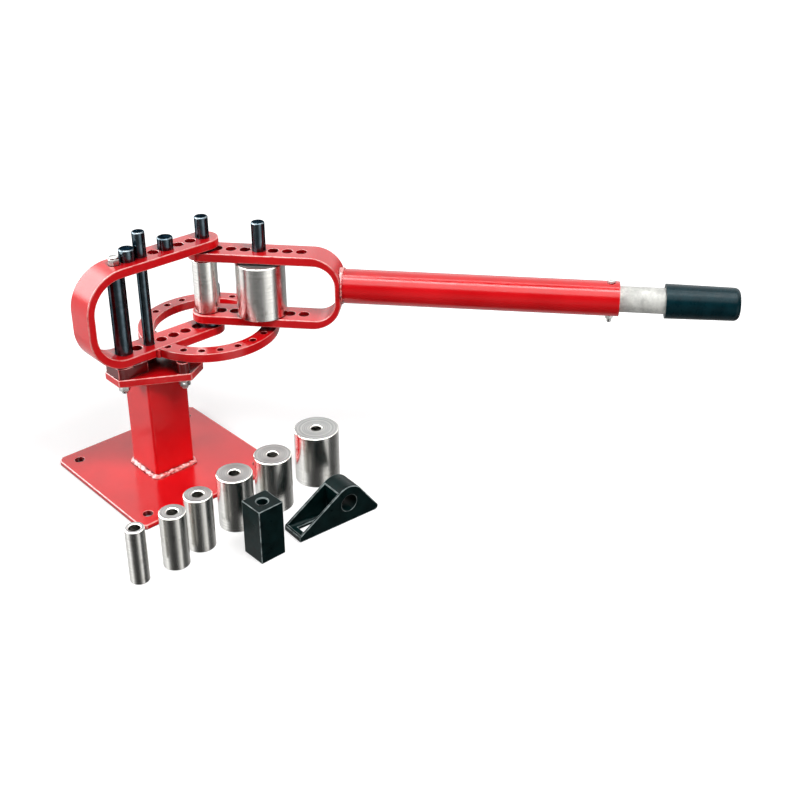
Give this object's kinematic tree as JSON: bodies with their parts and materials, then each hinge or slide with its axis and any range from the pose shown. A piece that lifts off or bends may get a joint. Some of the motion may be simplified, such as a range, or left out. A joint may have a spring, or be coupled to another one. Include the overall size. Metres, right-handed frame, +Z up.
{
  "type": "pipe bender",
  "caption": "Hand-operated pipe and bar bender: pinned swing arm with a long handle turns in a U-shaped frame over an index ring on a pedestal, with loose dies and blocks.",
  "frame": {"origin": "middle of the underside of the square floor plate", "axes": "+Z up; +X along the main frame from its closed end to the pivot; +Y across it, away from the loose dies"},
  "size_m": [0.7739, 0.6801, 0.3704],
  "materials": {
    "red_paint": "gloss enamel over flat bar and plate, soft at the edges",
    "black_finish": "black oxide, lightly oiled",
    "turned_steel": "turned bright steel",
    "zinc_plate": "zinc plate",
    "galvanised": "smooth galvanised tube",
    "rubber": "matt moulded rubber"
  },
  "bodies": {
    "stand": {"base_plate": "red_paint", "post": "red_paint", "base_weld": "red_paint", "top_plate": "red_paint", "top_weld": "red_paint", "saddle": "red_paint", "seat_bolts": "zinc_plate", "saddle_weld": "red_paint", "main_frame": "red_paint", "index_ring": "red_paint", "ring_weld": "red_paint", "rear_sleeve": "black_finish", "rear_bolt": "zinc_plate", "rear_nut": "zinc_plate", "lower_washer": "black_finish"},
    "swing": {"swing_frame": "red_paint", "upper_washer": "black_finish", "handle_tube": "red_paint", "handle_weld": "red_paint", "extension_tube": "galvanised", "handle_bolt": "zinc_plate", "handle_nut": "zinc_plate", "grip": "rubber"},
    "pivot_pin_body": {"pivot_pin": "black_finish"},
    "die_pin_body": {"die_pin": "black_finish"},
    "rest_pin_body": {"rest_pin": "black_finish"},
    "front_stub_pin_body": {"front_stub_pin": "black_finish"},
    "rear_stub_pin_body": {"rear_stub_pin": "black_finish"},
    "stop_pin_body": {"stop_pin": "black_finish"},
    "centre_die_body": {"centre_die": "turned_steel"},
    "bending_die_body": {"bending_die": "turned_steel"},
    "loose_die_1_body": {"loose_die_1": "turned_steel"},
    "loose_die_2_body": {"loose_die_2": "turned_steel"},
    "loose_die_3_body": {"loose_die_3": "turned_steel"},
    "loose_die_4_body": {"loose_die_4": "turned_steel"},
    "loose_die_5_body": {"loose_die_5": "turned_steel"},
    "loose_die_6_body": {"loose_die_6": "turned_steel"},
    "square_block_body": {"square_block": "black_finish"},
    "angle_block_body": {"angle_block": "black_finish"}
  },
  "joints": [
    {"name": "swing_turn", "type": "hinge", "parent": "stand", "child": "swing", "pos_m": [0.0908, 0.005, 0.264], "axis": [0, 0, 1], "range_deg": [-106, 69.5]},
    {"name": "centre_die_spin", "type": "hinge", "parent": "swing", "child": "centre_die_body", "pos_m": [0.0908, 0.005, 0.2628], "axis": [0, 0, 1], "continuous": true},
    {"name": "bending_die_spin", "type": "hinge", "parent": "swing", "child": "bending_die_body", "pos_m": [0.14289, -0.05492, 0.2628], "axis": [0, 0, 1], "continuous": true},
    {"name": "pivot_pin_lift", "type": "slide", "parent": "stand", "child": "pivot_pin_body", "axis": [0, 0, 1], "range_m": [0, 0.16]},
    {"name": "die_pin_lift", "type": "slide", "parent": "swing", "child": "die_pin_body", "axis": [0, 0, 1], "range_m": [0, 0.12]},
    {"name": "rest_pin_lift", "type": "slide", "parent": "stand", "child": "rest_pin_body", "axis": [0, 0, 1], "range_m": [0, 0.15]},
    {"name": "front_stub_pin_lift", "type": "slide", "parent": "stand", "child": "front_stub_pin_body", "axis": [0, 0, 1], "range_m": [0, 0.02]},
    {"name": "rear_stub_pin_lift", "type": "slide", "parent": "stand", "child": "rear_stub_pin_body", "axis": [0, 0, 1], "range_m": [0, 0.02]},
    {"name": "stop_pin_lift", "type": "slide", "parent": "stand", "child": "stop_pin_body", "axis": [0, 0, 1], "range_m": [0, 0.02]},
    {"name": "loose_die_1_lift", "type": "slide", "parent": "stand", "child": "loose_die_1_body", "axis": [0, 0, 1], "range_m": [0, 0.1]},
    {"name": "loose_die_2_lift", "type": "slide", "parent": "stand", "child": "loose_die_2_body", "axis": [0, 0, 1], "range_m": [0, 0.1]},
    {"name": "loose_die_3_lift", "type": "slide", "parent": "stand", "child": "loose_die_3_body", "axis": [0, 0, 1], "range_m": [0, 0.1]},
    {"name": "loose_die_4_lift", "type": "slide", "parent": "stand", "child": "loose_die_4_body", "axis": [0, 0, 1], "range_m": [0, 0.1]},
    {"name": "loose_die_5_lift", "type": "slide", "parent": "stand", "child": "loose_die_5_body", "axis": [0, 0, 1], "range_m": [0, 0.1]},
    {"name": "loose_die_6_lift", "type": "slide", "parent": "stand", "child": "loose_die_6_body", "axis": [0, 0, 1], "range_m": [0, 0.1]},
    {"name": "square_block_lift", "type": "slide", "parent": "stand", "child": "square_block_body", "axis": [0, 0, 1], "range_m": [0, 0.1]},
    {"name": "angle_block_lift", "type": "slide", "parent": "stand", "child": "angle_block_body", "axis": [0, 0, 1], "range_m": [0, 0.1]}
  ]
}
